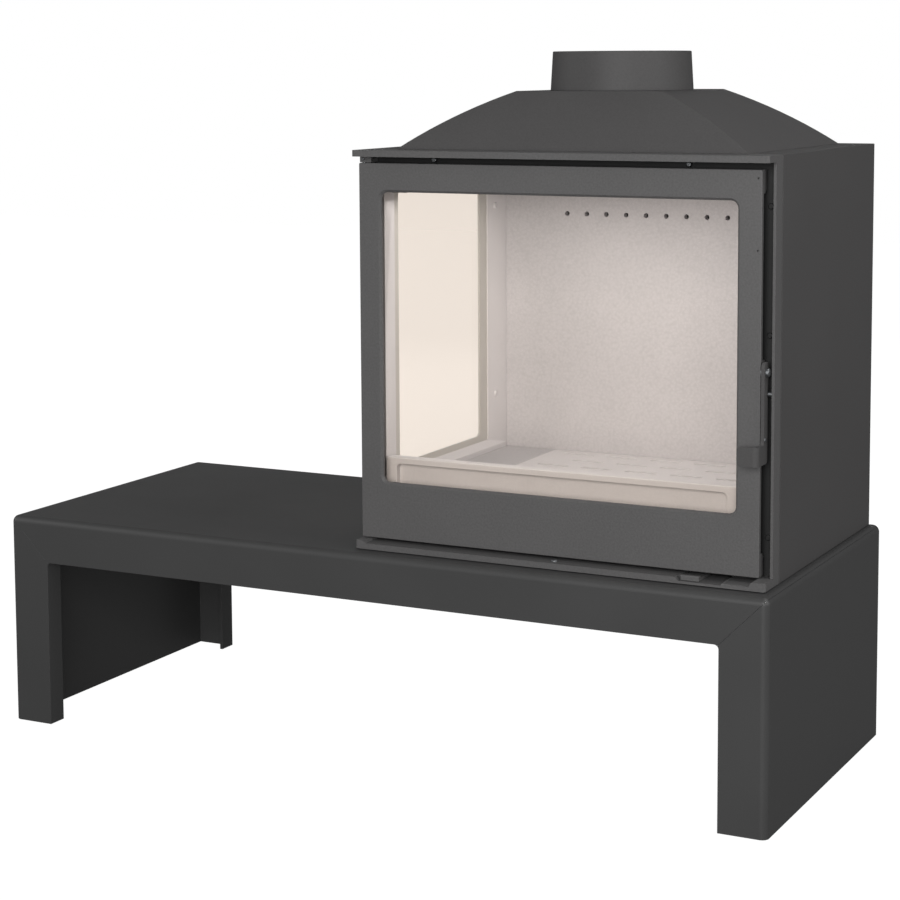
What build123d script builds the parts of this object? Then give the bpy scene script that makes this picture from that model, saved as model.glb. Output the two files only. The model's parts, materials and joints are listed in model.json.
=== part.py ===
from build123d import *
from math import hypot, radians, sin
import os

os.makedirs("parts", exist_ok=True)

# All lengths are in millimetres. The origin is the centre of the bench's footprint on the floor,
# +X runs to the right, the fire door faces -Y and +Z is up.

# Bench of folded sheet steel
bench_width = 950
bench_depth = 400
bench_height = 250
bench_face = 53  # height of the apron and width of a leg, seen from the front
bench_lip = 25  # lips folded back behind the apron and the legs
bench_sheet = 4
bench_bend = 8  # outside radius of the folds
opening_corner = 5
mitre_gap = 0.2
bracket_arm = 40
bracket_width = 50
bracket_offset = 120  # from the bench's middle, to the front and to the back

# Stove body
body_left = -12
body_right = 464
door_plane = -163  # front surface of the door
body_back = 190
body_top = 692
body_middle = (body_left + body_right) / 2
body_middle_y = (door_plane + body_back) / 2
ledge_front = door_plane - 17
panel_front = -135
panel_sheet = 2
left_panel_sheet = 3
plate = 3  # base, top and firebox plates

# Cast front frame
frame_face = -145  # land that the door closes on
frame_back = -139
frame_skirt = -137  # back edge of the frame's side flanges
jamb_front = -156  # front edge of the right jamb
frame_bottom = bench_height + 1
frame_opening_x = (6, 433.5)
frame_opening_z = (279, 660)
top_ledge = 7
end_block_top = bench_height + 10
lip_top = bench_height + 7.5
slider_recess_x = (370, 416)
slider_recess_z = bench_height + 3.5
second_recess_x = (419, 446)
second_recess_z = bench_height + 5.5
end_block = 10
jamb = 3

# Door
door_x = (-12, 451.5)
door_z = (261, 677.5)
door_skin = 5
door_back = -149.5
window_x = (14.5, 425.5)
window_z = (324.5, 646)
window_corner = 8
window_bevel = 2.5
rim_inset = 5
rope_width = 8
rope_wall = 3
rope_inner_wall = 2
hinge_x = -8
hinge_y = -157
hinge_pin_radius = 2.5
hinge_lug = 14  # width of the lug that holds the upper pin
hinge_lug_front = door_plane + 2.5
pin_depth = 7.5  # of each hinge pin in the door
boss_width = 12
boss_height = 24
glass_thickness = 4
tape_thickness = 1.5
glass_overlap = 8
clip_width = 24
clip_positions = (80, 220, 360)

# Door handle
pivot_y = -158.5
pivot_z = 472.5
head_radius = 7
head_half = 4  # half of the straight part of the lever's head
lever_x = (452.8, 456.5)
lever_y = (-165.5, -153.5)
grip_z = (379, 399)
grip_y = -184
grip_sheet = 3
grip_left = 434
handle_bend = 5.5
catch_y = -152
catch_z = 449.7

# Air slider
slider_tab_x = (371.5, 391.5)
slider_travel = 24
slider_z = (bench_height + 4, bench_height + 6.5)
port_width = 22

# Firebox
floor_top = 312
floor_thickness = 10
inner_left = 6
inner_right = 434
inner_back = 172
liner = 20
back_liner = 10
side_window_y = (-92, 114)
side_window_z = (332, 645)
side_opening_y = (-124, 134)  # opening of the cast frame round the side glass
side_opening_z = (324.5, 661)
rebate_width = 16  # thinner strip of that frame, along its front stile
sill_edge_z = 317  # lower edge of the bevel under the side glass
hole_pitch = 25.7
hole_count = 12
hole_row_z = 603.5
grate_x = (74, 378)
slot_length = 40
slot_width = 7
slot_pitch = 56
slot_row_pitch = 39
retainer_top = 349
retainer_front = -141
retainer_recess = 9
baffle_bottom = 646

# Hood and flue collar
hood_base_half = (203.5, 154)
hood_top_half = (85.5, 95.5)
hood_height = 63
hood_sheet = 3
hood_bulge = 7.5  # half of the angle that each curved face turns through
collar_bore = 75
collar_foot = 79.5
collar_rim = 77
collar_height = 43
flue_hole = 71


def block(x, y, z):
    """A box from its (low, high) pairs along X, Y and Z."""
    size = [high - low for low, high in (x, y, z)]
    middle = [(high + low) / 2 for low, high in (x, y, z)]
    return Pos(*middle) * Box(*size)


def rod_x(radius, x, y, z):
    return Pos((x[0] + x[1]) / 2, y, z) * Rot(0, 90, 0) * Cylinder(radius, x[1] - x[0])


def rod_y(radius, x, y, z):
    return Pos(x, (y[0] + y[1]) / 2, z) * Rot(90, 0, 0) * Cylinder(radius, y[1] - y[0])


def rod_z(radius, x, y, z):
    return Pos(x, y, (z[0] + z[1]) / 2) * Cylinder(radius, z[1] - z[0])


def hexagon(across_flats, low, high):
    """A hexagonal prism about the Z axis."""
    flat = RegularPolygon(across_flats / 2, 6, major_radius=False)
    return Pos(0, 0, low) * extrude(flat, high - low)


def grow(pair, amount):
    return (pair[0] - amount, pair[1] + amount)


def rounded_ring(outer_x, outer_z, inner_x, inner_z, y, outer_corner, inner_corner):
    """A flat upright ring with rounded corners, between two Y planes."""
    return (
        rounded_panel(outer_x, outer_z, y, outer_corner)
        - rounded_panel(inner_x, inner_z, (y[0] - 1, y[1] + 1), inner_corner)
    )


def rounded_panel(x, z, y, corner):
    panel = block(x, y, z)
    return fillet(panel.edges().filter_by(Axis.Y), corner) if corner else panel


def side_panel_shape(y, z, x, corner):
    """An upright plate across X with rounded corners."""
    panel = block(x, y, z)
    return fillet(panel.edges().filter_by(Axis.X), corner) if corner else panel


def save(name, shape):
    export_step(shape, f"parts/{name}.step")


# ---------------------------------------------------------------- bench

half_width = bench_width / 2
half_depth = bench_depth / 2
bench_under = bench_height - bench_sheet
opening_half = half_width - bench_face
opening_top = bench_height - bench_face

fixing_points = [(x, y) for x in (body_left + 30, body_right - 30) for y in (-80, 160)]
port_x = (slider_tab_x[0] - 20, slider_tab_x[0] - 20 + port_width)
port_y = (-130, -110)


def bench_shell():
    outer = block((-half_width, half_width), (-half_depth, half_depth), (0, bench_height))
    folds = outer.edges().filter_by(Axis.Z) + outer.faces().sort_by(Axis.Z)[-1].edges()
    outer = fillet(folds, bench_bend)
    hollow = block(
        grow((-half_width, half_width), -bench_sheet),
        grow((-half_depth, half_depth), -bench_sheet),
        (-1, bench_under),
    )
    shell = outer - hollow
    lip_x = (-opening_half - bench_sheet, opening_half + bench_sheet)
    for side in (-1, 1):
        lip_y = sorted((side * (half_depth - bench_sheet), side * (half_depth - bench_lip)))
        shell += block(lip_x, lip_y, (0, opening_top + bench_sheet))
    opening = block((-opening_half, opening_half), (-bench_depth, bench_depth), (-1, opening_top))
    opening = fillet(opening.edges().filter_by(Axis.Y).sort_by(Axis.Z)[-2:], opening_corner)
    return shell - opening


def leg_region(side, raise_by):
    """Everything on the leg's side of the mitre that runs through the bench's top corner."""
    corner = half_width + 1
    reach = half_width - opening_half + 30
    outline = Polyline(
        (side * corner, bench_height + 1 + raise_by),
        (side * corner, -1),
        (side * (corner - reach), -1),
        (side * (corner - reach), bench_height + 1 - reach + raise_by),
        close=True,
    )
    return extrude(Plane.XZ * make_face(outline), bench_depth, both=True)


shell = bench_shell()
for name, side in (("bench_left_leg", -1), ("bench_right_leg", 1)):
    save(name, shell & leg_region(side, 0))

bench_top = shell
for side in (-1, 1):
    bench_top -= leg_region(side, mitre_gap * 2**0.5)
for x, y in fixing_points:
    bench_top -= rod_z(4.5, x, y, (bench_under - 1, bench_height + 1))
bench_top -= block(port_x, port_y, (bench_under - 1, bench_height + 1))
save("bench_top", bench_top)

brackets = []
studs = []
for side in (-1, 1):
    for y in (-bracket_offset, bracket_offset):
        inside = half_width - bench_sheet
        arm_x = sorted((side * inside, side * (inside - bracket_arm)))
        web_x = sorted((side * inside, side * (inside - bench_sheet)))
        width = (y - bracket_width / 2, y + bracket_width / 2)
        arm = block(arm_x, width, (bench_under - bench_sheet, bench_under))
        web = block(web_x, width, (bench_under - bracket_arm, bench_under))
        stud_x = side * (inside - bracket_arm * 0.6)
        stud_z = bench_under - bracket_arm * 0.6
        bracket = arm + web
        bracket -= rod_z(3.3, stud_x, y, (bench_under - 10, bench_under + 1))
        bracket -= rod_x(3.3, sorted((side * (inside + 1), side * (inside - 10))), y, stud_z)
        brackets.append(bracket)
        # Welded stud with its nut, drawn pointing down and then turned for the side plate
        stud = rod_z(3, 0, 0, (-14, 0)) + hexagon(10, -bench_sheet - 5, -bench_sheet)
        studs.append(Pos(stud_x, y, bench_under) * stud)
        studs.append(Pos(side * inside, y, stud_z) * Rot(0, side * 90, 0) * stud)
save("bench_brackets", Compound(children=brackets))
save("bench_bracket_nuts", Compound(children=studs))

# ---------------------------------------------------------------- outer body

base_top = bench_height + plate
inside_x = (body_left + left_panel_sheet, body_right - panel_sheet)
back_plane = body_back - panel_sheet
base_x = (inside_x[0], body_right - jamb)

base_plate = block(base_x, (frame_back + 1, back_plane), (bench_height, base_top))
fixing_bolts = []
for x, y in fixing_points:
    base_plate -= rod_z(4.5, x, y, (bench_height - 1, base_top + 1))
    bolt = rod_z(4, 0, 0, (-bench_sheet, plate + 9))
    bolt += hexagon(13, -bench_sheet - 5.3, -bench_sheet) + hexagon(13, plate, plate + 6.5)
    fixing_bolts.append(Pos(x, y, bench_height) * bolt)
base_plate -= block(port_x, port_y, (bench_height - 1, base_top + 1))
save("base_plate", base_plate)
save("stove_fixing_bolts", Compound(children=fixing_bolts))

# Right side panel with folded edges at the front and the back
panel_z = (bench_height + 0.5, body_top)
right_panel = block((body_right - panel_sheet, body_right), (panel_front, body_back), panel_z)
right_panel = fillet(right_panel.edges().filter_by(Axis.Z).sort_by(Axis.X)[-2:], 1.2)
fold_x = (body_right - 5.5, body_right - panel_sheet)
right_panel += block(fold_x, (panel_front, panel_front + panel_sheet), (panel_z[0] + 4, body_top - 8))
save("right_side_panel", right_panel)

# Left side panel, a frame round the side window
panel_window_y = grow(side_window_y, 20)
panel_window_z = grow(side_window_z, 10)
left_panel = block((body_left, body_left + left_panel_sheet), (panel_front, body_back), panel_z)
left_panel -= side_panel_shape(
    panel_window_y, panel_window_z, (body_left - 1, body_left + left_panel_sheet + 1), window_corner
)
save("left_side_panel", left_panel)

# Back panel with rows of cooling slots, held by screws
back_panel = block(inside_x, (back_plane, body_back), panel_z)
for row_z in (300, 320, 640, 660):
    for column in range(9):
        slot_x = body_middle + (column - 4) * 42
        slot = block((slot_x - 15, slot_x + 15), (back_plane - 1, body_back + 1), (row_z - 3, row_z + 3))
        back_panel -= fillet(slot.edges().filter_by(Axis.Y), 2.9)
save("back_panel", back_panel)

screw_points = [(x, z) for x in (inside_x[0] + 12, inside_x[1] - 12) for z in (275, 470, 672)]
panel_screws = []
for x, z in screw_points:
    head = rod_y(4.5, x, (body_back, body_back + 2.4), z)
    head = fillet(head.edges().sort_by(Axis.Y)[-1], 1.5)
    head -= block((x - 2.6, x + 2.6), (body_back + 1.2, body_back + 3), (z - 0.6, z + 0.6))
    panel_screws.append(head)
save("back_panel_screws", Compound(children=panel_screws))

# Top plate with the smoke opening under the hood
top_plate = block(inside_x, (frame_skirt + 0.5, back_plane), (body_top - plate, body_top))
smoke_x = (body_middle - hood_base_half[0] + 32, body_middle + hood_base_half[0] - 32)
smoke_y = (body_middle_y - hood_base_half[1] + 32, body_middle_y + hood_base_half[1] - 32)
smoke_opening = block(smoke_x, smoke_y, (body_top - plate - 1, body_top + 1))
top_plate -= fillet(smoke_opening.edges().filter_by(Axis.Z), 12)
save("top_plate", top_plate)


def hood_profile(base_half, top_half, height):
    """A mound with a flat top and curved flanks, drawn about the middle of its base."""
    chord = hypot(base_half - top_half, height)
    radius = chord / 2 / sin(radians(hood_bulge))
    outline = (
        Line((-base_half, 0), (base_half, 0))
        + RadiusArc((base_half, 0), (top_half, height), -radius)
        + Line((top_half, height), (-top_half, height))
        + RadiusArc((-top_half, height), (-base_half, 0), -radius)
    )
    return make_face(outline)


def hood_mound(shrink, height):
    """Where the side flanks and the front and back flanks meet, they form four ridges."""
    across = hood_profile(hood_base_half[0] - shrink, hood_top_half[0] - shrink / 3, height)
    along = hood_profile(hood_base_half[1] - shrink, hood_top_half[1] - shrink / 3, height)
    long_way = extrude(Plane.XZ * across, hood_base_half[0], both=True)
    short_way = extrude(Plane.YZ * along, hood_base_half[0] + 10, both=True)
    return long_way & short_way


hood = hood_mound(0, hood_height) - hood_mound(hood_sheet * 1.4, hood_height - hood_sheet)
hood -= rod_z(flue_hole, 0, 0, (hood_height - 10, hood_height + 1))
hood = Pos(body_middle, body_middle_y, body_top) * hood
save("hood", hood)

collar = Cone(collar_foot, collar_rim, collar_height) - Cylinder(collar_bore, collar_height + 2)
collar = chamfer(collar.edges().filter_by(GeomType.CIRCLE).group_by(Axis.Z)[-1], 0.6)
collar = Pos(body_middle, body_middle_y, body_top + hood_height + collar_height / 2) * collar
save("flue_collar", collar)

# ---------------------------------------------------------------- front frame

frame_x = (body_left, body_right)
frame = block(frame_x, (frame_face, frame_back), (frame_bottom, body_top))
frame -= rounded_panel(frame_opening_x, frame_opening_z, (frame_face - 1, frame_back + 1), 6)
frame += block((body_right - jamb, body_right), (jamb_front, frame_skirt), (frame_bottom, body_top))
frame += block((body_left, body_left + jamb), (frame_face, frame_skirt), (frame_bottom, body_top))
frame += block(frame_x, (frame_face, frame_skirt), (body_top - plate, body_top))

ledge = block(frame_x, (ledge_front, frame_face), (body_top - top_ledge, body_top))
ledge = chamfer(ledge.edges().filter_by(Axis.Z).sort_by(Axis.Y)[:2], 2.5)
frame += ledge
lug_z = (door_z[1] + 0.5, body_top - top_ledge + 0.1)
frame += block((body_left, body_left + hinge_lug), (hinge_lug_front, frame_face), lug_z)

sill = block(frame_x, (ledge_front, frame_face), (frame_bottom, end_block_top))
sill = chamfer(sill.edges().filter_by(Axis.Z).sort_by(Axis.Y)[:2], 2.5)


def sill_dip(x, floor, slope):
    """A dip in the sill's upper side, with ends that slope up and outwards."""
    over = end_block_top + 1
    reach = (over - floor) * slope
    outline = Polyline((x[0], floor), (x[1], floor), (x[1] + reach, over), (x[0] - reach, over), close=True)
    return Pos(0, frame_face, 0) * extrude(Plane.XZ * make_face(outline), frame_face - ledge_front + 1)


sill -= sill_dip((body_left + end_block + 3, second_recess_x[1]), lip_top, 1)
sill -= sill_dip(slider_recess_x, slider_recess_z, 0.8)
sill -= sill_dip(second_recess_x, second_recess_z, 0.8)
frame += sill

slider_slot_x = (slider_tab_x[0] - 1, slider_tab_x[1] + slider_travel + 1)
frame -= block(slider_slot_x, (frame_face - 1, frame_back + 1), (slider_z[0] - 0.5, slider_z[1] + 0.5))

hinge_hole = hinge_pin_radius + 0.05
pin_top_z = (door_z[1] - pin_depth, body_top - 1.5)
pin_bottom_z = (frame_bottom + 2, door_z[0] + pin_depth)
for pin_z in (pin_top_z, pin_bottom_z):
    frame -= rod_z(hinge_pin_radius, hinge_x, hinge_y, pin_z)
lug_screw_y = (hinge_lug_front - 0.9, hinge_y - hinge_pin_radius - 0.05)
lug_screw_z = (lug_z[0] + lug_z[1]) / 2
frame -= rod_y(1.6, hinge_x, (hinge_lug_front - 1, hinge_y), lug_screw_z)

gap_screw_x = (74, 368)
gap_screw_z = (door_z[1] + body_top - top_ledge) / 2
bolt_points = [(x, z) for x in (body_left + 4.3, body_right - 9) for z in (300, 508.5, 640)]
for x, z in bolt_points:
    frame -= rod_y(2.1, x, (frame_face - 1, frame_back + 1), z)
for x in gap_screw_x:
    frame -= rod_y(1.6, x, (frame_face - 1, frame_back + 1), gap_screw_z)
sill_screw_y = (ledge_front + door_plane) / 2 + 2
frame -= rod_z(2.1, body_middle, sill_screw_y, (frame_bottom - 1, lip_top + 1))
catch_tail_x = (body_right - jamb - 0.5, body_right - 0.8)
frame -= rod_x(2.5, catch_tail_x, catch_y, catch_z)
save("front_frame", frame)

pins = [rod_z(hinge_pin_radius, hinge_x, hinge_y, pin_z) for pin_z in (pin_top_z, pin_bottom_z)]
save("hinge_pins", Compound(children=pins))

lug_screw = rod_y(1.6, hinge_x, lug_screw_y, lug_screw_z)
lug_screw = fillet(lug_screw.edges().sort_by(Axis.Y)[0], 0.5)
save("hinge_lug_screw", lug_screw)

frame_bolts = []
for x, z in bolt_points:
    head = rod_y(3.2, x, (frame_face - 1.6, frame_face), z)
    head = fillet(head.edges().sort_by(Axis.Y)[0], 1.2)
    frame_bolts.append(head + rod_y(2, x, (frame_face - 0.1, frame_back + 0.5), z))
save("frame_bolts", Compound(children=frame_bolts))

gap_screws = []
for x in gap_screw_x:
    head = rod_y(2.8, x, (frame_face - 6, frame_face), gap_screw_z)
    head = fillet(head.edges().sort_by(Axis.Y)[0], 1.2)
    gap_screws.append(head + rod_y(1.5, x, (frame_face - 1, frame_back), gap_screw_z))
save("gap_screws", Compound(children=gap_screws))

sill_screw = rod_z(3.6, body_middle, sill_screw_y, (lip_top, lip_top + 2))
sill_screw = fillet(sill_screw.edges().sort_by(Axis.Z)[-1], 1.4)
sill_screw += rod_z(2, body_middle, sill_screw_y, (frame_bottom, lip_top + 0.5))
save("sill_screw", sill_screw)

catch_pin = rod_x(3, (lever_x[0], body_right - jamb), catch_y, catch_z)
catch_pin = fillet(catch_pin.edges().sort_by(Axis.X)[0], 0.8)
catch_pin += rod_x(2.5, catch_tail_x, catch_y, catch_z)
save("catch_pin", catch_pin)

# ---------------------------------------------------------------- firebox

wall_right_x = (inner_right + liner + 1, inner_right + liner + 1 + plate)
wall_top = body_top - plate - 0.5
hearth_z = (floor_top - floor_thickness - 4, floor_top - floor_thickness)
wall_back_y = (inner_back + back_liner + 0.5, inner_back + back_liner + 0.5 + plate)
lining_front = frame_back + 1
left_frame_x = (-2, inner_left - 0.2)
hole_row_middle = (inner_left + inner_right + liner) / 2
hole_row_x = [hole_row_middle + (k - (hole_count - 1) / 2) * hole_pitch for k in range(hole_count)]


def air_holes(radius, y):
    return [rod_y(radius, x, (y[0] - 1, y[1] + 1), hole_row_z) for x in hole_row_x]


right_wall = block(wall_right_x, (lining_front, wall_back_y[1]), (base_top, wall_top))
save("firebox_right_wall", right_wall)

back_wall = block((left_frame_x[0], wall_right_x[0]), wall_back_y, (base_top, wall_top))
save("firebox_back_wall", back_wall - air_holes(4, wall_back_y))

ash_hole_x = (grate_x[0] + 26, grate_x[1] - 26)
ash_hole_y = (-70, 140)
hearth = block((left_frame_x[0], wall_right_x[0]), (lining_front, wall_back_y[0]), hearth_z)
save("hearth_plate", hearth - block(ash_hole_x, ash_hole_y, grow(hearth_z, 1)))

liner_z = (floor_top - floor_thickness, baffle_bottom - 0.5)
save("right_liner", block((inner_right, inner_right + liner), (lining_front, inner_back - 0.5), liner_z))

back_liner_y = (inner_back, inner_back + back_liner)
back_panel_liner = block((inner_left, inner_right + liner), back_liner_y, (liner_z[0], wall_top - 40))
save("back_liner", back_panel_liner - air_holes(3, back_liner_y))

# Cast frame round the side glass: a stepped front stile, a bevelled sill and a wide bevelled rear stile
left_frame_y = (lining_front, wall_back_y[0] - 0.5)
left_frame_z = (hearth_z[1], wall_top)
bevel_x = left_frame_x[0] + 1.2
rebate_x = (left_frame_x[0], (left_frame_x[0] + left_frame_x[1]) / 2)
left_frame = block(left_frame_x, (left_frame_y[0], side_opening_y[0]), left_frame_z)
left_frame += block(rebate_x, (side_opening_y[0] - 1, side_opening_y[0] + rebate_width), left_frame_z)
left_frame += block(left_frame_x, left_frame_y, (side_opening_z[1], left_frame_z[1]))
sill_outline = Polyline(
    (left_frame_x[0], left_frame_z[0]),
    (left_frame_x[1], left_frame_z[0]),
    (left_frame_x[1], sill_edge_z),
    (bevel_x, side_opening_z[0]),
    (left_frame_x[0], side_opening_z[0]),
    close=True,
)
left_frame += Pos(0, left_frame_y[1], 0) * extrude(
    Plane.XZ * make_face(sill_outline), left_frame_y[1] - left_frame_y[0]
)
stile_outline = Polyline(
    (left_frame_x[0], side_opening_y[1]),
    (bevel_x, side_opening_y[1]),
    (left_frame_x[1], inner_back - 0.5),
    (left_frame_x[1], left_frame_y[1]),
    (left_frame_x[0], left_frame_y[1]),
    close=True,
)
left_frame_height = left_frame_z[1] - left_frame_z[0]
left_frame += Pos(0, 0, left_frame_z[0]) * extrude(make_face(stile_outline), left_frame_height)

left_screw_points = [(150, z) for z in (380, 612.5)]
left_screws = []
face_x = left_frame_x[0] + 3.5
for y, z in left_screw_points:
    left_frame -= rod_x(2.1, grow(left_frame_x, 1), y, z)
    head = rod_x(4, (face_x, face_x + 2.3), y, z)
    head = fillet(head.edges().sort_by(Axis.X)[-1], 1.2)
    left_screws.append(head + rod_x(2, (left_frame_x[0], face_x + 0.5), y, z))
    left_frame -= rod_x(4, (face_x, left_frame_x[1] + 1), y, z)
save("left_inner_frame", left_frame)
save("left_frame_screws", Compound(children=left_screws))

# Side glass between the outer panel's clips and the woven tape
side_glass_x = (body_left + left_panel_sheet + 0.7, body_left + left_panel_sheet + 0.7 + glass_thickness)
side_tape_x = (side_glass_x[1], left_frame_x[0])
side_glass_y = grow(side_window_y, 26)
side_glass_z = grow(side_window_z, 16)
save("side_glass", side_panel_shape(side_glass_y, side_glass_z, side_glass_x, 6))

tape = side_panel_shape(grow(side_glass_y, 2), grow(side_glass_z, 2), side_tape_x, 8)
tape = tape - side_panel_shape(side_window_y, side_window_z, grow(side_tape_x, 1), window_corner)
for y, z in left_screw_points:
    tape -= rod_x(2.5, grow(side_tape_x, 1), y, z)
save("side_glass_tape", tape)

side_clips = []
for y in (side_window_y[0] + 40, side_window_y[1] - 40):
    for edge, reach in ((side_glass_z[0], -1), (side_glass_z[1], 1)):
        clip_z = sorted((edge + reach * 0.3, edge + reach * 7))
        side_clips.append(block((side_glass_x[0], side_glass_x[1] - 0.2), (y - 12, y + 12), clip_z))
save("side_glass_clips", Compound(children=side_clips))

floor_y = (lining_front + 12, inner_back - 0.5)
floor_z = (floor_top - floor_thickness, floor_top)
save("floor_brick_left", block((inner_left + 0.5, grate_x[0] - 0.5), floor_y, floor_z))
save("floor_brick_right", block((grate_x[1] + 0.5, inner_right - 0.5), floor_y, floor_z))

grate = block(grate_x, floor_y, floor_z)
row_y = inner_back - 20
row = 0
while row_y > floor_y[0] + 25:
    shift = slot_pitch / 2 * (row % 2)
    for column in range(5):
        slot_x = grate_x[0] + 40 + column * slot_pitch + shift
        if slot_x + slot_length / 2 < grate_x[1] - 8:
            slot = block(
                (slot_x - slot_length / 2, slot_x + slot_length / 2),
                (row_y - slot_width / 2, row_y + slot_width / 2),
                grow(floor_z, 1),
            )
            grate -= fillet(slot.edges().filter_by(Axis.Z), slot_width / 2 - 0.1)
    row_y -= slot_row_pitch
    row += 1
save("grate", grate)

# Log retainer: a bar with a lip along its top, a recessed face and a thick block at each end
retainer_x = (inner_left + 1, inner_right - 1.5)
retainer_back = retainer_front + 14
retainer = block(retainer_x, (retainer_front, retainer_back), (floor_top - floor_thickness, retainer_top))
recess_x = (retainer_x[0] + 13, retainer_x[1] - 24)
recess_y = (retainer_front - 1, retainer_front + retainer_recess)
recess = block(recess_x, recess_y, (floor_top + 3, retainer_top - 7))
recess = fillet(recess.edges().filter_by(Axis.Y).sort_by(Axis.Z)[-2:], 5)
retainer -= recess
lip_edges = retainer.edges().filter_by(Axis.X).group_by(Axis.Z)[-1]
retainer = fillet(lip_edges, 1.5)
save("log_retainer", retainer)

# Ash pan, an open tray with a folded tab
pan_x = grow(ash_hole_x, -3)
pan_y = grow(ash_hole_y, -3)
pan_z = (base_top, hearth_z[0] - 1.5)
pan_sheet = 1.5
ash_pan = block(pan_x, pan_y, pan_z)
ash_pan -= block(grow(pan_x, -pan_sheet), grow(pan_y, -pan_sheet), (pan_z[0] + pan_sheet, pan_z[1] + 1))
tab_x = (body_middle - 30, body_middle + 30)
ash_pan += block(tab_x, (pan_y[0] - 14, pan_y[0]), (pan_z[1] - pan_sheet, pan_z[1]))
save("ash_pan", ash_pan)

# Baffle board over the fire, on a flat bar and the right lining, with a steel deflector above it
baffle_y = (-60, inner_back - 1)
baffle_x = (inner_left + 1, inner_right + liner - 0.5)
baffle_z = (baffle_bottom, baffle_bottom + 14)
save("baffle_board", block(baffle_x, baffle_y, baffle_z))

bracket_y = (side_opening_y[0] + 3, inner_back - 2)
save("baffle_bracket", block((inner_left, inner_left + 18), bracket_y, (baffle_bottom - 3, baffle_bottom)))

deflector_z = (baffle_z[1] + 13, baffle_z[1] + 15)
deflector_y = (-128, 70)
deflector_x = (inner_left + 14, inner_right - 14)
save("upper_deflector", block(deflector_x, deflector_y, deflector_z))

hangers = []
for x in (deflector_x[0] + 12, deflector_x[1] - 12):
    hanger_y = deflector_y[0] + 14
    hanger = rod_z(3, x, hanger_y, (deflector_z[1], body_top - plate))
    hangers.append(hanger + Pos(x, hanger_y, deflector_z[1]) * hexagon(10, 0, 5))
    foot_y = (deflector_y[1] - 16, deflector_y[1] - 14)
    hangers.append(block((x - 12, x + 12), foot_y, (baffle_z[1], deflector_z[0])))
save("deflector_hangers", Compound(children=hangers))

airwash_z = (frame_opening_z[1] - 2, frame_opening_z[1])
airwash = block(grow(frame_opening_x, -1), (frame_back, frame_back + 17), airwash_z)
airwash += block(grow(frame_opening_x, -1), (frame_back, frame_back + 2), (airwash_z[0], airwash_z[1] + 18))
save("airwash_deflector", airwash)

# ---------------------------------------------------------------- air slider

valve_x = (port_x[0] - port_width - 8, slider_tab_x[1] + 6)
valve_y = (port_y[0] - 4, port_y[1] + 4)
valve_z = (base_top + 1, base_top + 3.5)
slider = block(valve_x, valve_y, valve_z)
slider -= block((port_x[0] - slider_travel, port_x[1] - slider_travel), port_y, grow(valve_z, 1))
slider += block(slider_tab_x, (ledge_front + 4, valve_y[1] - 5), valve_z)
knob = block(slider_tab_x, (ledge_front + 4, ledge_front + 9), (valve_z[0], end_block_top - 0.8))
slider += fillet(knob.edges().filter_by(Axis.X), 1)
save("air_slider", slider)

guide_x = (valve_x[0] - 4, valve_x[1] + slider_travel + 4)
guide = block(guide_x, (valve_y[1] + 0.5, valve_y[1] + 12), (base_top, valve_z[1] + 2))
guide += block(guide_x, (valve_y[1] - 4, valve_y[1] + 12), (valve_z[1] + 0.5, valve_z[1] + 2))
guide_screws = []
for x in (guide_x[0] + 8, guide_x[1] - 8):
    screw_y = valve_y[1] + 6.5
    guide -= rod_z(2.1, x, screw_y, (base_top - 1, valve_z[1] + 3))
    head = rod_z(3.5, x, screw_y, (valve_z[1] + 2, valve_z[1] + 4))
    head = fillet(head.edges().sort_by(Axis.Z)[-1], 1.2)
    guide_screws.append(head + rod_z(2, x, screw_y, (base_top, valve_z[1] + 2.5)))
save("air_slider_guide", guide)
save("air_guide_screws", Compound(children=guide_screws))

# ---------------------------------------------------------------- door

skin_y = (door_plane, door_plane + door_skin)
rim_y = (skin_y[1], door_back)
rim_x = grow(door_x, -rim_inset)
rim_z = grow(door_z, -rim_inset)
groove_x = grow(rim_x, -rope_wall)
groove_z = grow(rim_z, -rope_wall)
core_x = grow(groove_x, -rope_width)
core_z = grow(groove_z, -rope_width)
pocket_x = grow(core_x, -rope_inner_wall)
pocket_z = grow(core_z, -rope_inner_wall)

skin = block(door_x, skin_y, door_z)
skin = fillet(skin.edges().filter_by(Axis.Y), 1.5)
skin = fillet(skin.faces().sort_by(Axis.Y)[0].edges(), 0.8)
skin -= rounded_panel(window_x, window_z, grow(skin_y, 1), window_corner)
window_edges = skin.faces().sort_by(Axis.Y)[0].inner_wires()[0].edges()
skin = chamfer(window_edges, window_bevel)

rim = block(rim_x, rim_y, rim_z) - block(pocket_x, grow(rim_y, 1), pocket_z)
groove = block(groove_x, (rim_y[0] + 3, rim_y[1] + 1), groove_z)
groove -= block(core_x, (rim_y[0] + 2, rim_y[1] + 2), core_z)
rim -= groove
door = skin + rim

# Four corner bosses: the left pair turns on the hinge pins
for low_x in (door_x[0], door_x[1] - boss_width):
    for low_z in (door_z[0], door_z[1] - boss_height):
        boss = block((low_x, low_x + boss_width), rim_y, (low_z, low_z + boss_height))
        inner = 1 if low_z == door_z[0] else 0
        ends = boss.edges().filter_by(Axis.X).sort_by(Axis.Y)[-2:].sort_by(Axis.Z)
        boss = chamfer(ends[inner], 4)
        door += boss
for z in ((door_z[0], door_z[0] + boss_height), (door_z[1] - boss_height, door_z[1])):
    for x in ((groove_x[0], core_x[0]), (core_x[1], groove_x[1])):
        inside_z = (max(z[0], groove_z[0]), min(z[1], groove_z[1]))
        door -= block(x, (rim_y[0] + 3, rim_y[1] + 1), inside_z)
door -= rod_z(hinge_hole, hinge_x, hinge_y, (door_z[0] - 1, pin_bottom_z[1] + 0.5))
door -= rod_z(hinge_hole, hinge_x, hinge_y, (pin_top_z[0] - 0.5, door_z[1] + 1))

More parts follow.
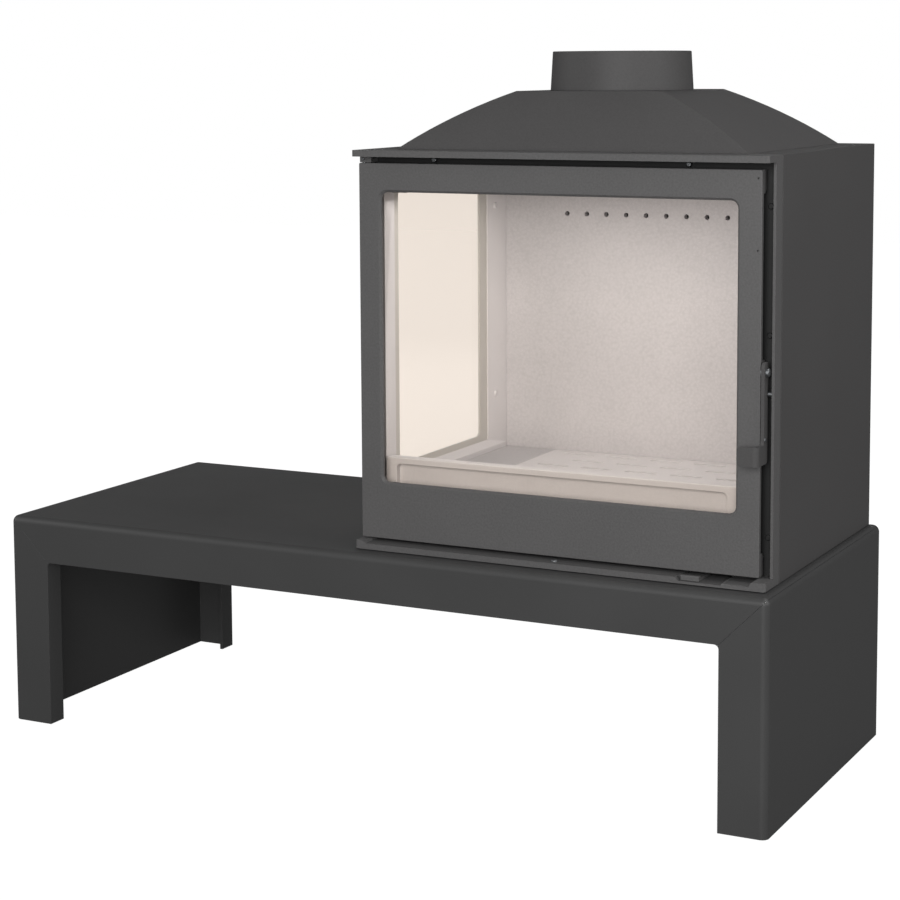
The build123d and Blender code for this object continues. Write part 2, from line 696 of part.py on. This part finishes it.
# Boss for the handle's pivot, and two blind drillings in the right stile
pivot_boss_x = (rim_x[1], door_x[1])
door += block(pivot_boss_x, (skin_y[1], door_back), (pivot_z - 12, pivot_z + 12))
door -= rod_x(hinge_pin_radius, (door_x[1] - 4.5, door_x[1] + 1), pivot_y, pivot_z)
for z in (596, 669):
    door -= rod_y(1.1, door_x[1] - 4, (door_plane - 1, door_plane + 3), z)

glass_x = grow(window_x, glass_overlap)
glass_z = (window_z[0] - glass_overlap, window_z[1] + glass_overlap - 2)
clip_rows = []
for direction, edge in ((1, glass_z[1]), (-1, glass_z[0])):
    clip_rows.append((direction, edge, edge + direction * 4))
for direction, edge, screw_z in clip_rows:
    for x in clip_positions:
        door -= rod_y(2.1, x, (skin_y[1] - 2.5, skin_y[1] + 1), screw_z)
save("door_frame", door)

tape_y = (skin_y[1], skin_y[1] + tape_thickness)
glass_y = (tape_y[1], tape_y[1] + glass_thickness)
save("door_glass", rounded_panel(glass_x, glass_z, glass_y, 4))
inner_x = grow(window_x, 1.5)
inner_z = grow(window_z, 1.5)
save("door_glass_tape", rounded_ring(glass_x, glass_z, inner_x, inner_z, tape_y, 4, 7))

clips = []
clip_screws = []
for direction, edge, screw_z in clip_rows:
    for x in clip_positions:
        width = (x - clip_width / 2, x + clip_width / 2)
        foot_z = sorted((edge + direction * 0.4, edge + direction * 7.5))
        arm_z = sorted((edge - direction * 6, edge + direction * 7.5))
        arm_y = (glass_y[1] + 0.2, glass_y[1] + 1.7)
        clip = block(width, (skin_y[1], arm_y[0]), foot_z) + block(width, arm_y, arm_z)
        clips.append(clip - rod_y(2.1, x, (skin_y[1] - 1, arm_y[1] + 1), screw_z))
        head = rod_y(3.4, x, (arm_y[1], arm_y[1] + 2), screw_z)
        head = fillet(head.edges().sort_by(Axis.Y)[-1], 1.2)
        clip_screws.append(head + rod_y(2, x, (skin_y[1] - 2, arm_y[1] + 0.5), screw_z))
save("door_glass_clips", Compound(children=clips))
save("door_clip_screws", Compound(children=clip_screws))

rope_gap = 0.3
rope_y = (rim_y[0] + 3 + rope_gap, frame_face - rope_gap)
rope = block(grow(groove_x, -rope_gap), rope_y, grow(groove_z, -rope_gap))
rope -= block(grow(core_x, rope_gap), grow(rope_y, 1), grow(core_z, rope_gap))
rope = fillet(rope.faces().sort_by(Axis.Y)[-1].edges(), 3)
save("door_rope_seal", rope)

# ---------------------------------------------------------------- handle

spacer = rod_x(5, (door_x[1], lever_x[0] - 0.1), pivot_y, pivot_z)
spacer -= rod_x(3.3, (door_x[1] - 1, lever_x[0] + 1), pivot_y, pivot_z)
save("handle_spacer", spacer)

pivot_bolt = rod_x(hinge_pin_radius, (door_x[1] - 4.4, lever_x[1] + 0.5), pivot_y, pivot_z)
bolt_head = rod_x(4.6, (lever_x[1] + 0.1, lever_x[1] + 3.6), pivot_y, pivot_z)
pivot_bolt += fillet(bolt_head.edges().sort_by(Axis.X)[-1], 2.4)
save("handle_pivot_bolt", pivot_bolt)

# Flat lever with a long rounded head, and an arm at its foot that bends round into the grip
lever = block(lever_x, lever_y, (grip_z[0], pivot_z))
lever += block(lever_x, (grip_y, lever_y[0] + 5), grip_z)
foot_corner = lever.edges().filter_by(Axis.X).sort_by(Axis.Z)[:2].sort_by(Axis.Y)[-1]
lever = fillet(foot_corner, 5)
root = lever.edges().filter_by(Axis.X).filter_by_position(Axis.Z, grip_z[1] - 0.5, grip_z[1] + 0.5)
lever = fillet(root.sort_by(Axis.Y)[-1], 3)
head_y = (pivot_y - head_radius, pivot_y + head_radius)
lever += block(lever_x, head_y, (pivot_z - head_half, pivot_z + head_half))
for z in (pivot_z - head_half, pivot_z + head_half):
    lever += rod_x(head_radius, lever_x, pivot_y, z)
lever -= rod_x(hinge_hole, grow(lever_x, 1), pivot_y, pivot_z)
lever -= rod_x(4.5, grow(lever_x, 1), catch_y, catch_z)
handle = lever + block((grip_left, lever_x[1]), (grip_y, grip_y + grip_sheet), grip_z)
outer_bend = handle.edges().filter_by(Axis.Z).filter_by_position(Axis.X, lever_x[1] - 0.1, lever_x[1] + 0.1)
handle = fillet(outer_bend.sort_by(Axis.Y)[0], handle_bend)
grip_corners = handle.edges().filter_by(Axis.Y)
handle = fillet(grip_corners.filter_by_position(Axis.X, grip_left - 0.1, grip_left + 0.1), 4)
rivet_y = lever_y[0] + 3
rivet_z = grip_z[1] + 5
handle -= rod_x(1.6, grow(lever_x, 1), rivet_y, rivet_z)
save("door_handle", handle)

rivet = rod_x(1.5, (lever_x[0], lever_x[1] + 0.2), rivet_y, rivet_z)
rivet_head = rod_x(2.2, (lever_x[1], lever_x[1] + 1.1), rivet_y, rivet_z)
rivet += fillet(rivet_head.edges().sort_by(Axis.X)[-1], 0.8)
save("handle_rivet", rivet)
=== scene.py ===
import json
from math import radians

import bmesh
import bpy
from mathutils import Matrix, Vector


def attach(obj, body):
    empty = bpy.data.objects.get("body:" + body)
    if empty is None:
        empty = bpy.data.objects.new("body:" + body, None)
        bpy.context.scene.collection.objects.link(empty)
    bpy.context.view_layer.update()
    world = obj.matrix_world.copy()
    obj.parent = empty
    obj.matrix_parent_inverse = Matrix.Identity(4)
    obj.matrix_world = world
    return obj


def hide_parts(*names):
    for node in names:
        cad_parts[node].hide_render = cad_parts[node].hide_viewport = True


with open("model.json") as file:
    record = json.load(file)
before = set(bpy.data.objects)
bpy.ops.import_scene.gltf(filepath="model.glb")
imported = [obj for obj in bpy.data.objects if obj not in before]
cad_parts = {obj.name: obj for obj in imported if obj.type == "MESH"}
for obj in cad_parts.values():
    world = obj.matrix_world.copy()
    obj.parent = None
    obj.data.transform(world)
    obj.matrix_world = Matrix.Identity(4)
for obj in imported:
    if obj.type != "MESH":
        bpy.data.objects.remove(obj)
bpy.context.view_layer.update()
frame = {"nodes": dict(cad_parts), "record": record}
nodes = frame["nodes"]
bodyOf = {node: body for body, members in frame["record"]["behaviour"]["bodies"].items() for node in members}
slotOf = {part["node"]: part["material_slot"] for part in frame["record"]["subparts"]}
mm = 0.001
print("frame loaded:", len(nodes), "nodes")


def linearColor(hexCode):
    # sRGB hex to the linear values that shaders take
    channels = [int(hexCode[k:k + 2], 16) / 255 for k in (1, 3, 5)]
    return [c / 12.92 if c <= 0.04045 else ((c + 0.055) / 1.055) ** 2.4 for c in channels] + [1.0]


def addNode(tree, kind, settings={}, links={}):
    node = tree.nodes.new(kind)
    for key, value in settings.items():
        if isinstance(key, int) or key in node.inputs:
            node.inputs[key].default_value = value
        else:
            setattr(node, key, value)
    for key, source in links.items():
        tree.links.new(source, node.inputs[key])
    return node


def newMaterial(name):
    material = bpy.data.materials.new(name)
    material.use_nodes = True
    material.node_tree.nodes.clear()
    return material, material.node_tree


def finishSurface(tree, shader):
    addNode(tree, "ShaderNodeOutputMaterial", {}, {"Surface": shader})


def paintedMetal(name, finish):
    # A sprayed coat: the colour drifts softly over a hand's width, a grain lies in the coat, and the gloss
    # varies a little
    material, tree = newMaterial(name)
    place = addNode(tree, "ShaderNodeTexCoord").outputs["Object"]
    grain = addNode(tree, "ShaderNodeTexNoise", {"Scale": 1 / (finish["grainMm"] * mm), "Detail": 3.0,
                                                "Roughness": 0.6}, {"Vector": place})
    drift = addNode(tree, "ShaderNodeTexNoise", {"Scale": 1 / (finish["driftMm"] * mm), "Detail": 4.0},
                    {"Vector": place})
    peel = addNode(tree, "ShaderNodeTexNoise", {"Scale": 1 / (finish["peelMm"] * mm), "Detail": 2.0},
                   {"Vector": place})
    tone = addNode(tree, "ShaderNodeMix", {"data_type": "RGBA", 6: linearColor(finish["dark"]),
                                           7: linearColor(finish["light"])}, {0: grain.outputs["Fac"]})
    shade = addNode(tree, "ShaderNodeMix", {"data_type": "RGBA", "blend_type": "MULTIPLY", 0: 1.0},
                    {6: tone.outputs[2]})
    band = addNode(tree, "ShaderNodeMapRange", {"To Min": 1 - finish["driftAmount"],
                                                "To Max": 1 + finish["driftAmount"]},
                   {"Value": drift.outputs["Fac"]})
    tree.links.new(band.outputs["Result"], shade.inputs[7])
    gloss = addNode(tree, "ShaderNodeMapRange", {"To Min": finish["roughness"] - 0.06,
                                                 "To Max": finish["roughness"] + 0.08},
                    {"Value": drift.outputs["Fac"]})
    fine = addNode(tree, "ShaderNodeBump", {"Strength": finish["grainBump"], "Distance": 0.3 * mm},
                   {"Height": grain.outputs["Fac"]})
    wavy = addNode(tree, "ShaderNodeBump", {"Strength": finish["peelBump"], "Distance": 0.4 * mm},
                   {"Height": peel.outputs["Fac"], "Normal": fine.outputs["Normal"]})
    coat = addNode(tree, "ShaderNodeBsdfPrincipled", {"Metallic": 0.0, "IOR": 1.5,
                                                      "Specular IOR Level": finish["specular"]},
                   {"Base Color": shade.outputs[2], "Roughness": gloss.outputs["Result"],
                    "Normal": wavy.outputs["Normal"]})
    finishSurface(tree, coat.outputs[0])
    return material


# Powder-coated folded steel: satin, with a faint orange peel
benchPowderCoat = paintedMetal("benchPowderCoat", {
    "dark": "#383838", "light": "#414141", "grainMm": 1.6, "driftMm": 160, "peelMm": 6,
    "driftAmount": 0.10, "roughness": 0.48, "grainBump": 0.10, "peelBump": 0.04, "specular": 0.5})

# Heat-resistant stove paint on cast iron: matt, with the sand mould's grain showing through. This grain and
# the others are drawn coarser than life, at about two millimetres, so that they show
castIronPaint = paintedMetal("castIronPaint", {
    "dark": "#474646", "light": "#616060", "grainMm": 2.2, "driftMm": 120, "peelMm": 5,
    "driftAmount": 0.08, "roughness": 0.52, "grainBump": 0.45, "peelBump": 0.12, "specular": 0.5})

# The same stove paint sprayed on smooth sheet steel: a finer grain and a little more sheen
sheetSteelPaint = paintedMetal("sheetSteelPaint", {
    "dark": "#424141", "light": "#515050", "grainMm": 2.0, "driftMm": 180, "peelMm": 7,
    "driftAmount": 0.09, "roughness": 0.60, "grainBump": 0.14, "peelBump": 0.04, "specular": 0.3})

# Plain mill steel blacked for places that stay hidden: darker and duller. It also goes on the frame's faces
# behind the door as painted shade
blackSteelAndGapShade = paintedMetal("blackSteelAndGapShade", {
    "dark": "#111111", "light": "#1a1a1a", "grainMm": 2.0, "driftMm": 60, "peelMm": 8,
    "driftAmount": 0.2, "roughness": 0.6, "grainBump": 0.15, "peelBump": 0.05, "specular": 0.4})

# Pale ceramic-filled coating on the cast parts round the fire: chalky, hardly any gloss. The pale colour is
# partly the coating's own and partly painted reflection, standing in for the white sheen the door glass lays
# over these parts
fireSidePaleAndGlassReflection = paintedMetal("fireSidePaleAndGlassReflection", {
    "dark": "#cecccd", "light": "#e0dedf", "grainMm": 1.8, "driftMm": 70, "peelMm": 5,
    "driftAmount": 0.05, "roughness": 0.75, "grainBump": 0.25, "peelBump": 0.08, "specular": 0.3})
print("painted metals made")


def pressedVermiculite():
    # Pressed vermiculite board: pale mica flakes a few millimetres wide in a chalky binder, quite matt
    board = {"flakeMm": 3.2, "cloudMm": 45, "flake": "#c4c3c5", "binder": "#b8b6b8", "dentMm": 0.3,
             "dentAmount": 0.12, "roughness": 0.75, "specular": 0.4}
    material, tree = newMaterial("pressedVermiculite")
    place = addNode(tree, "ShaderNodeTexCoord").outputs["Object"]
    flakes = addNode(tree, "ShaderNodeTexVoronoi", {"Scale": 1 / (board["flakeMm"] * mm), "Randomness": 1.0},
                     {"Vector": place})
    cloud = addNode(tree, "ShaderNodeTexNoise", {"Scale": 1 / (board["cloudMm"] * mm), "Detail": 5.0},
                    {"Vector": place})
    tone = addNode(tree, "ShaderNodeValToRGB", {}, {"Fac": flakes.outputs["Distance"]})
    tone.color_ramp.elements[0].color = linearColor(board["flake"])
    tone.color_ramp.elements[1].color = linearColor(board["binder"])
    shade = addNode(tree, "ShaderNodeMapRange", {"To Min": 0.94, "To Max": 1.04},
                    {"Value": cloud.outputs["Fac"]})
    mixed = addNode(tree, "ShaderNodeMix", {"data_type": "RGBA", "blend_type": "MULTIPLY", 0: 1.0},
                    {6: tone.outputs["Color"], 7: shade.outputs["Result"]})
    dents = addNode(tree, "ShaderNodeBump", {"Strength": board["dentAmount"],
                                             "Distance": board["dentMm"] * mm},
                    {"Height": flakes.outputs["Distance"]})
    surface = addNode(tree, "ShaderNodeBsdfPrincipled", {"Roughness": board["roughness"],
                                                         "Specular IOR Level": board["specular"]},
                      {"Base Color": mixed.outputs[2], "Normal": dents.outputs["Normal"]})
    finishSurface(tree, surface.outputs[0])
    return material


def ceramicGlass():
    # Rolled glass ceramic: clear, with a faint warm tint, and a mirror-like gloss that a thin film dulls in
    # places and that grows at a slant
    glass = {"tint": "#fcf9f6", "filmMm": 60, "glossSharp": 0.02, "glossDull": 0.07, "mirrorFacing": 0.015,
             "mirrorSlanting": 0.6}
    material, tree = newMaterial("ceramicGlass")
    place = addNode(tree, "ShaderNodeTexCoord").outputs["Object"]
    clear = addNode(tree, "ShaderNodeBsdfTransparent", {"Color": linearColor(glass["tint"])})
    bloom = addNode(tree, "ShaderNodeTexNoise", {"Scale": 1 / (glass["filmMm"] * mm), "Detail": 3.0},
                    {"Vector": place})
    film = addNode(tree, "ShaderNodeMapRange", {"To Min": glass["glossSharp"], "To Max": glass["glossDull"]},
                   {"Value": bloom.outputs["Fac"]})
    gloss = addNode(tree, "ShaderNodeBsdfGlossy", {"Color": linearColor("#ffffff")},
                    {"Roughness": film.outputs["Result"]})
    slant = addNode(tree, "ShaderNodeLayerWeight", {"Blend": 0.5})
    curve = addNode(tree, "ShaderNodeMath", {"operation": "POWER", 1: 5.0}, {0: slant.outputs["Facing"]})
    mirror = addNode(tree, "ShaderNodeMapRange", {"To Min": glass["mirrorFacing"],
                                                  "To Max": glass["mirrorSlanting"]},
                     {"Value": curve.outputs[0]})
    pane = addNode(tree, "ShaderNodeMixShader", {}, {0: mirror.outputs["Result"], 1: clear.outputs[0],
                                                     2: gloss.outputs[0]})
    finishSurface(tree, pane.outputs[0])
    return material


def wovenGlassFibre():
    # Woven glass-fibre tape and rope: pale yarns crossing over and under, drawn at about two millimetres,
    # coarser than life, so that they show
    weave = {"yarnMm": 2.2, "reliefMm": 0.6, "reliefAmount": 0.7, "hollow": "#b9b6b0", "crown": "#ebe8e2",
             "roughness": 0.85, "specular": 0.3, "sheen": 0.2}
    waveScale = 0.314 / (weave["yarnMm"] * mm)  # a wave texture's bands lie 0.314 units apart at scale 1
    material, tree = newMaterial("wovenGlassFibre")
    place = addNode(tree, "ShaderNodeTexCoord").outputs["Object"]
    turned = addNode(tree, "ShaderNodeMapping", {"Rotation": (radians(45), radians(30), radians(45))},
                     {"Vector": place})
    warp = addNode(tree, "ShaderNodeTexWave", {"Scale": waveScale, "Distortion": 0.4,
                                               "bands_direction": "X"}, {"Vector": turned.outputs[0]})
    weft = addNode(tree, "ShaderNodeTexWave", {"Scale": waveScale, "Distortion": 0.4,
                                               "bands_direction": "Z"}, {"Vector": turned.outputs[0]})
    cross = addNode(tree, "ShaderNodeMath", {"operation": "MULTIPLY"}, {0: warp.outputs["Fac"],
                                                                       1: weft.outputs["Fac"]})
    # The hollows between the yarns take the darker colour as painted shade, following the same crossing
    # pattern as the relief
    tone = addNode(tree, "ShaderNodeMix", {"data_type": "RGBA", 6: linearColor(weave["hollow"]),
                                           7: linearColor(weave["crown"])}, {0: cross.outputs[0]})
    relief = addNode(tree, "ShaderNodeBump", {"Strength": weave["reliefAmount"],
                                              "Distance": weave["reliefMm"] * mm},
                     {"Height": cross.outputs[0]})
    yarn = addNode(tree, "ShaderNodeBsdfPrincipled", {"Roughness": weave["roughness"],
                                                      "Specular IOR Level": weave["specular"],
                                                      "Sheen Weight": weave["sheen"]},
                   {"Base Color": tone.outputs[2], "Normal": relief.outputs["Normal"]})
    finishSurface(tree, yarn.outputs[0])
    return material


def zincPlate():
    # Zinc-plated steel gone dull: a cool grey metal with a slightly cloudy gloss
    plating = {"cloudMm": 2.5, "dark": "#6a6c6e", "light": "#8c8e90", "roughLow": 0.38, "roughHigh": 0.55}
    material, tree = newMaterial("zincPlate")
    place = addNode(tree, "ShaderNodeTexCoord").outputs["Object"]
    cloud = addNode(tree, "ShaderNodeTexNoise", {"Scale": 1 / (plating["cloudMm"] * mm), "Detail": 3.0},
                    {"Vector": place})
    tone = addNode(tree, "ShaderNodeMix", {"data_type": "RGBA", 6: linearColor(plating["dark"]),
                                           7: linearColor(plating["light"])}, {0: cloud.outputs["Fac"]})
    gloss = addNode(tree, "ShaderNodeMapRange", {"To Min": plating["roughLow"],
                                                 "To Max": plating["roughHigh"]},
                    {"Value": cloud.outputs["Fac"]})
    metal = addNode(tree, "ShaderNodeBsdfPrincipled", {"Metallic": 1.0},
                    {"Base Color": tone.outputs[2], "Roughness": gloss.outputs["Result"]})
    finishSurface(tree, metal.outputs[0])
    return material


finishes = {
    "bench_paint": benchPowderCoat, "sheet_steel_paint": sheetSteelPaint, "cast_iron_paint": castIronPaint,
    "black_steel": blackSteelAndGapShade, "fire_side_paint": fireSidePaleAndGlassReflection, "vermiculite": pressedVermiculite(),
    "ceramic_glass": ceramicGlass(), "glass_fibre": wovenGlassFibre(), "zinc_steel": zincPlate(),
}
print("materials made:", len(finishes))


def dress(piece, finish):
    piece.data.materials.clear()
    piece.data.materials.append(finish)


for name, node in nodes.items():
    dress(node, finishes[slotOf[name]])


copying = {"mergeMm": 0.005, "flatDegrees": 0.5, "cornerDegrees": 28}


def softenedCopy(name, node, edge):
    # The node's own shape with its corners eased, as paint, casting and folding leave them
    cornerAngle = radians(copying["cornerDegrees"])
    shape = bmesh.new()
    shape.from_mesh(nodes[node].data)
    bmesh.ops.remove_doubles(shape, verts=shape.verts, dist=copying["mergeMm"] * mm)
    bmesh.ops.dissolve_limit(shape, angle_limit=radians(copying["flatDegrees"]), verts=shape.verts,
                             edges=shape.edges)
    mesh = bpy.data.meshes.new(name)
    shape.to_mesh(mesh)
    shape.free()
    mesh.shade_smooth()
    mesh.set_sharp_from_angle(angle=cornerAngle)
    piece = bpy.data.objects.new(name, mesh)
    bpy.context.scene.collection.objects.link(piece)
    dress(piece, finishes[slotOf[node]])
    easing = piece.modifiers.new("easedEdges", "BEVEL")
    easing.width = edge["width"] * mm
    easing.segments = edge["segments"]
    easing.limit_method = "ANGLE"
    easing.angle_limit = cornerAngle
    flatness = piece.modifiers.new("flatFaces", "WEIGHTED_NORMAL")
    flatness.weight = 100
    flatness.keep_sharp = True
    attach(piece, bodyOf[node])
    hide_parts(node)
    return piece


easedEdges = {
    "benchTop": ("bench_top", {"width": 0.25, "segments": 2}),
    "benchLegLeft": ("bench_left_leg", {"width": 0.25, "segments": 2}),
    "benchLegRight": ("bench_right_leg", {"width": 0.25, "segments": 2}),
    "frontFrame": ("front_frame", {"width": 0.6, "segments": 2}),
    "doorFrame": ("door_frame", {"width": 0.45, "segments": 2}),
    "sidePanelRight": ("right_side_panel", {"width": 0.5, "segments": 2}),
    "sidePanelLeft": ("left_side_panel", {"width": 0.6, "segments": 2}),
    "backPanel": ("back_panel", {"width": 0.4, "segments": 2}),
    "topPlate": ("top_plate", {"width": 0.5, "segments": 2}),
    "hoodSkin": ("hood", {"width": 0.9, "segments": 3}),
    "flueCollar": ("flue_collar", {"width": 0.3, "segments": 2}),
    "doorHandle": ("door_handle", {"width": 0.5, "segments": 2}),
    "logRetainer": ("log_retainer", {"width": 0.6, "segments": 2}),
    "grate": ("grate", {"width": 0.9, "segments": 2}),
    "windowFrame": ("left_inner_frame", {"width": 0.6, "segments": 2}),
    "floorBrickLeft": ("floor_brick_left", {"width": 1.4, "segments": 2}),
    "floorBrickRight": ("floor_brick_right", {"width": 1.4, "segments": 2}),
    "rightLiner": ("right_liner", {"width": 1.2, "segments": 2}),
    "backLiner": ("back_liner", {"width": 0.8, "segments": 2}),
}
pieces = {name: softenedCopy(name, node, edge) for name, (node, edge) in easedEdges.items()}
print("eased pieces made:", len(easedEdges))

# The frame's faces behind the door get the black steel finish as painted shade, so the gap round the door
# stays dark
seatShade = {"deeperThan": -150 * mm, "facing": -0.99}
frontFrame = pieces["frontFrame"].data
frontFrame.materials.append(blackSteelAndGapShade)
for face in frontFrame.polygons:
    if face.normal.y < seatShade["facing"] and face.center.y > seatShade["deeperThan"]:
        face.material_index = 1
dress(pieces["doorHandle"], sheetSteelPaint)
print("door seat blackened, handle painted")


def makeStage():
    # A wide pale floor and sky that look plain white and send little light back to the object
    studio = {"floorSize": 14.0, "floorColor": "#404040", "floorDrop": 0.0005,
              "skyStrength": 0.14, "skyColor": "#ffffff",
              "floorGlow": 0.12, "floorSeen": 1.0}
    ground = bmesh.new()
    bmesh.ops.create_grid(ground, x_segments=1, y_segments=1, size=studio["floorSize"] / 2,
                          matrix=Matrix.Translation((0, 0, -studio["floorDrop"])))
    mesh = bpy.data.meshes.new("studioFloor")
    ground.to_mesh(mesh)
    ground.free()
    floor = bpy.data.objects.new("studioFloor", mesh)
    bpy.context.scene.collection.objects.link(floor)
    material, tree = newMaterial("studioPaper")
    paper = addNode(tree, "ShaderNodeBsdfDiffuse", {"Color": linearColor(studio["floorColor"])})
    seen = addNode(tree, "ShaderNodeLightPath")
    lift = addNode(tree, "ShaderNodeMapRange", {"To Min": studio["floorGlow"], "To Max": studio["floorSeen"]},
                   {"Value": seen.outputs["Is Camera Ray"]})
    glow = addNode(tree, "ShaderNodeEmission", {"Color": linearColor("#ffffff")},
                   {"Strength": lift.outputs["Result"]})
    both = addNode(tree, "ShaderNodeAddShader", {}, {0: paper.outputs[0], 1: glow.outputs[0]})
    finishSurface(tree, both.outputs[0])
    dress(floor, material)

    world = bpy.data.worlds.new("studioSky")
    bpy.context.scene.world = world
    world.use_nodes = True
    sky = world.node_tree
    sky.nodes.clear()
    seen = addNode(sky, "ShaderNodeLightPath")
    strength = addNode(sky, "ShaderNodeMapRange", {"To Min": studio["skyStrength"], "To Max": 1.0},
                       {"Value": seen.outputs["Is Camera Ray"]})
    back = addNode(sky, "ShaderNodeBackground", {"Color": linearColor(studio["skyColor"])},
                   {"Strength": strength.outputs["Result"]})
    addNode(sky, "ShaderNodeOutputWorld", {}, {"Surface": back.outputs[0]})


def addLight(name, light):
    lamp = bpy.data.lights.new(name, "AREA")
    lamp.shape = "RECTANGLE"
    lamp.size, lamp.size_y = light["size"]
    lamp.energy = light["watts"]
    holder = bpy.data.objects.new(name, lamp)
    holder.location = light["at"]
    aim = Vector(light["aim"]) - Vector(light["at"])
    holder.rotation_euler = aim.to_track_quat("-Z", "Y").to_euler()
    holder.visible_camera = False
    holder.visible_glossy = light.get("inGloss", True)
    bpy.context.scene.collection.objects.link(holder)


def makeLights():
    # A large softbox near the camera, weaker ones at the sides, above and behind, and two small ones for the
    # pale lining
    addLight("keySoftbox", {"at": (1.0, -3.1, 1.15), "aim": (0.1, 0, 0.4), "size": (2.2, 1.6), "watts": 80})
    addLight("rightSoftbox", {"at": (3.1, -0.5, 1.3), "aim": (0.3, 0, 0.5), "size": (1.4, 1.4), "watts": 24})
    addLight("leftSoftbox", {"at": (-2.8, -1.3, 1.3), "aim": (0.1, 0, 0.5), "size": (1.4, 1.4), "watts": 20})
    addLight("topSoftbox", {"at": (1.5, 0.0, 2.4), "aim": (0.1, 0, 0.3), "size": (0.9, 0.9), "watts": 16})
    addLight("backSoftbox", {"at": (-1.2, 3.0, 1.5), "aim": (0.1, 0, 0.4), "size": (2.2, 1.6), "watts": 60,
                             "inGloss": False})
    addLight("doorwayFill", {"at": (0.22, -0.138, 0.50), "aim": (0.22, 0.2, 0.46), "size": (0.42, 0.26),
                             "watts": 0.19, "inGloss": False})
    addLight("roofFill", {"at": (0.215, -0.02, 0.635), "aim": (0.215, -0.02, 0.3), "size": (0.41, 0.23),
                          "watts": 0.54, "inGloss": False})


def makeCamera():
    shot = {"at": (1.1661, -2.2446, 0.7828), "turnDegrees": 27.13, "tiltDegrees": -5.88, "rollDegrees": 0.31,
            "lensMm": 87.09, "shiftY": -0.1778}
    lens = bpy.data.cameras.new("studioCamera")
    lens.lens = shot["lensMm"]
    lens.sensor_width = 36
    lens.shift_y = shot["shiftY"]
    camera = bpy.data.objects.new("studioCamera", lens)
    bpy.context.scene.collection.objects.link(camera)
    level = Matrix.Rotation(radians(90), 4, "X")
    turn = Matrix.Rotation(radians(shot["turnDegrees"]), 4, "Z")
    tilt = Matrix.Rotation(radians(shot["tiltDegrees"]), 4, "X")
    roll = Matrix.Rotation(radians(shot["rollDegrees"]), 4, "Y")
    camera.matrix_world = Matrix.Translation(shot["at"]) @ turn @ tilt @ roll @ level
    bpy.context.scene.camera = camera


makeStage()
makeLights()
makeCamera()
bpy.context.scene.view_settings.view_transform = "Standard"
print("stage, lights and camera ready")
